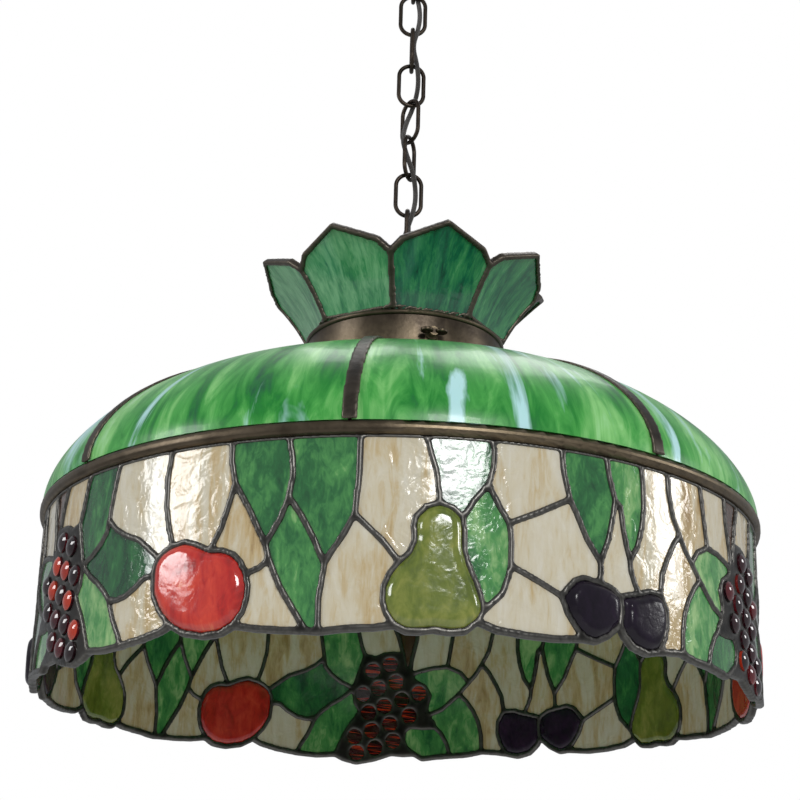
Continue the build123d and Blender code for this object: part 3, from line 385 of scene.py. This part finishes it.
def make_studio():
    """Pale floor well below the lamp, a white surround and soft lights."""
    scene = bpy.context.scene
    scene.view_settings.view_transform = "Standard"
    world = bpy.data.worlds.new("surround")
    world.use_nodes = True
    tree = world.node_tree
    room = tree.nodes["Background"]
    room.inputs["Color"].default_value = (0.93, 0.96, 1.0, 1)
    room.inputs["Strength"].default_value = 0.42
    paper = tree.nodes.new("ShaderNodeBackground")
    paper.inputs["Color"].default_value = (1, 1, 1, 1)
    chooser = tree.nodes.new("ShaderNodeMixShader")
    rays = tree.nodes.new("ShaderNodeLightPath")
    tree.links.new(rays.outputs["Is Camera Ray"], chooser.inputs[0])
    tree.links.new(room.outputs[0], chooser.inputs[1])
    tree.links.new(paper.outputs[0], chooser.inputs[2])
    tree.links.new(chooser.outputs[0], tree.nodes["World Output"].inputs["Surface"])
    scene.world = world
    mesh = bpy.data.meshes.new("floor")
    half = 6.0
    low = RIM_Z - 1.1
    corners = [(-half, -half, low), (half, -half, low), (half, half, low), (-half, half, low)]
    mesh.from_pydata(corners, [], [(0, 1, 2, 3)])
    floor = bpy.data.objects.new("floor", mesh)
    scene.collection.objects.link(floor)
    paint = Shader("floor paint")
    tone = paint.noise(paint.position(), 3.0)
    pale = paint.ramp(tone, [(0.3, (0.86, 0.86, 0.85)), (0.7, (0.90, 0.90, 0.89))])
    paint.set(Base_Color=pale, Roughness=0.8)
    mesh.materials.append(paint.material)
    middle = (0, 0, RIM_Z + 0.15)
    make_light("window", (0.62, -2.3, RIM_Z + 1.05), middle, 0.62, 26)
    make_light("side window", (-2.4, -0.9, RIM_Z + 1.0), middle, 0.8, 20)
    make_light("overhead", (0.2, 1.3, RIM_Z + 2.4), middle, 1.4, 16)
    make_light("far side window", (2.3, -0.2, RIM_Z + 0.8), middle, 0.5, 9)


# ---- the cord ----

def cord_points():
    """The cord's route: out of the canopy, round the chain and down into the pipe."""
    yaws = (-5, 85, 5, 68, -52, 8, 92, 2, 92)
    sides = [yaws[0] + 180]
    for below, above in zip(yaws, yaws[1:]):
        swing = (above - below) % 180
        sides.append(sides[-1] + swing if swing >= 90 else sides[-1] - (180 - swing))

    def beside(angle, height):
        turn = math.radians(angle)
        return Vector((CORD_OFFSET * math.cos(turn), CORD_OFFSET * math.sin(turn), height))

    points = [Vector((0, 0, RIM_Z + 0.290)), Vector((0, 0, RIM_Z + 0.330)),
              Vector((0.0001, 0, RIM_Z + 0.3715)), beside(sides[0] - 45, LOWEST_LINK - 0.0228),
              beside(sides[0] - 45, LOWEST_LINK - 0.016)]
    for index, side in enumerate(sides):
        height = LOWEST_LINK + LINK_PITCH * index
        points.append(beside(side, height))
        if index + 1 < len(sides):
            points.append(beside((side + sides[index + 1]) / 2, height + LINK_PITCH / 2))
        else:
            points.append(beside(side + 45, height + 0.016))
            points.append(beside(side + 45, height + 0.0228))
    points.append(Vector((-0.0001, 0, PIVOTS["link_1"] + 0.0145)))
    points.append(Vector((0, 0, -0.012)))
    return points


def smooth_route(points):
    """Points along the NURBS spline that has a route as its control points."""
    curve = bpy.data.curves.new("route", "CURVE")
    curve.dimensions = "3D"
    curve.resolution_u = 12
    spline = curve.splines.new("NURBS")
    spline.points.add(len(points) - 1)
    for point, place in zip(spline.points, points):
        point.co = (*place, 1.0)
    spline.order_u = 3
    spline.use_endpoint_u = True
    holder = bpy.data.objects.new("route", curve)
    bpy.context.scene.collection.objects.link(holder)
    depsgraph = bpy.context.evaluated_depsgraph_get()
    mesh = bpy.data.meshes.new_from_object(holder.evaluated_get(depsgraph))
    places = [vertex.co.copy() for vertex in mesh.vertices]
    bpy.data.objects.remove(holder)
    return places


def tube_mesh(name, places, radius, start_length):
    """A tube round a line of points, with UVs round and along it."""
    sides = 20
    verts = []
    faces = []
    lengths = [start_length]
    across = Vector((1, 0, 0))
    for index, place in enumerate(places):
        before = places[max(index - 1, 0)]
        after = places[min(index + 1, len(places) - 1)]
        direction = (after - before).normalized()
        across = (across - direction * across.dot(direction)).normalized()
        other = direction.cross(across)
        if index:
            lengths.append(lengths[-1] + (place - places[index - 1]).length)
        for side in range(sides):
            turn = 2 * math.pi * side / sides
            verts.append(place + (across * math.cos(turn) + other * math.sin(turn)) * radius)
    for index in range(len(places) - 1):
        for side in range(sides):
            following = (side + 1) % sides
            faces.append((index * sides + side, index * sides + following,
                          (index + 1) * sides + following, (index + 1) * sides + side))
    faces.append(tuple(reversed(range(sides))))
    faces.append(tuple(range((len(places) - 1) * sides, len(places) * sides)))
    mesh = bpy.data.meshes.new(name)
    mesh.from_pydata(verts, [], faces)
    layer = mesh.uv_layers.new(name="UVMap")
    for polygon in mesh.polygons[:-2]:
        ring, side = divmod(polygon.index, sides)
        corners = ((side, ring), (side + 1, ring), (side + 1, ring + 1), (side, ring + 1))
        for loop, (around, along) in zip(polygon.loop_indices, corners):
            layer.data[loop].uv = (around / sides, lengths[along])
    return mesh


def make_cord():
    """The cord in stretches from the middle of one link to the next, each spanning one joint."""
    places = smooth_route(cord_points())
    joints = ["shade"] + [f"link_{n}" for n in range(LINKS, 0, -1)]
    centres = [LOWEST_LINK + LINK_PITCH * n for n in range(LINKS)]
    limits = [-9.0] + centres + [9.0]
    length = 0.0
    for index, joint in enumerate(joints):
        low = limits[index]
        high = limits[index + 1]
        inside = [n for n, place in enumerate(places) if low <= place.z <= high]
        first = max(inside[0] - 1, 0)
        last = min(inside[-1] + 1, len(places) - 1)
        stretch = places[first:last + 1]
        name = f"cord_stretch_{index + 1}"
        mesh = tube_mesh(name, stretch, CORD_RADIUS, length)
        length += sum((b - a).length for a, b in zip(stretch, stretch[1:]))
        mesh.materials.append(CORD)
        for polygon in mesh.polygons:
            polygon.use_smooth = True
        piece = bpy.data.objects.new(name, mesh)
        bpy.context.scene.collection.objects.link(piece)
        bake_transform(piece)
        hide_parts("power_cord")


# ---- the object ----

make_camera()
make_studio()
for node_name in NODES:
    finish_node(node_name)
FINE = 0.0013
softened("skirt_came", FINE, 5, "skirt_solder", swell=0.0005)
softened("crown_came", FINE, 5, "crown_solder", swell=0.0004, material=RIB)
softened("dome_ribs", FINE, 6, "dome_rib_castings", material=RIB)
softened("apples", 0.0016, 26, "apple_glass_pieces", swell=0.0012)
softened("pears", 0.0016, 22, "pear_glass_pieces", swell=0.0012)
softened("plums", 0.0016, 20, "plum_glass_pieces", swell=0.0012)
make_cord()
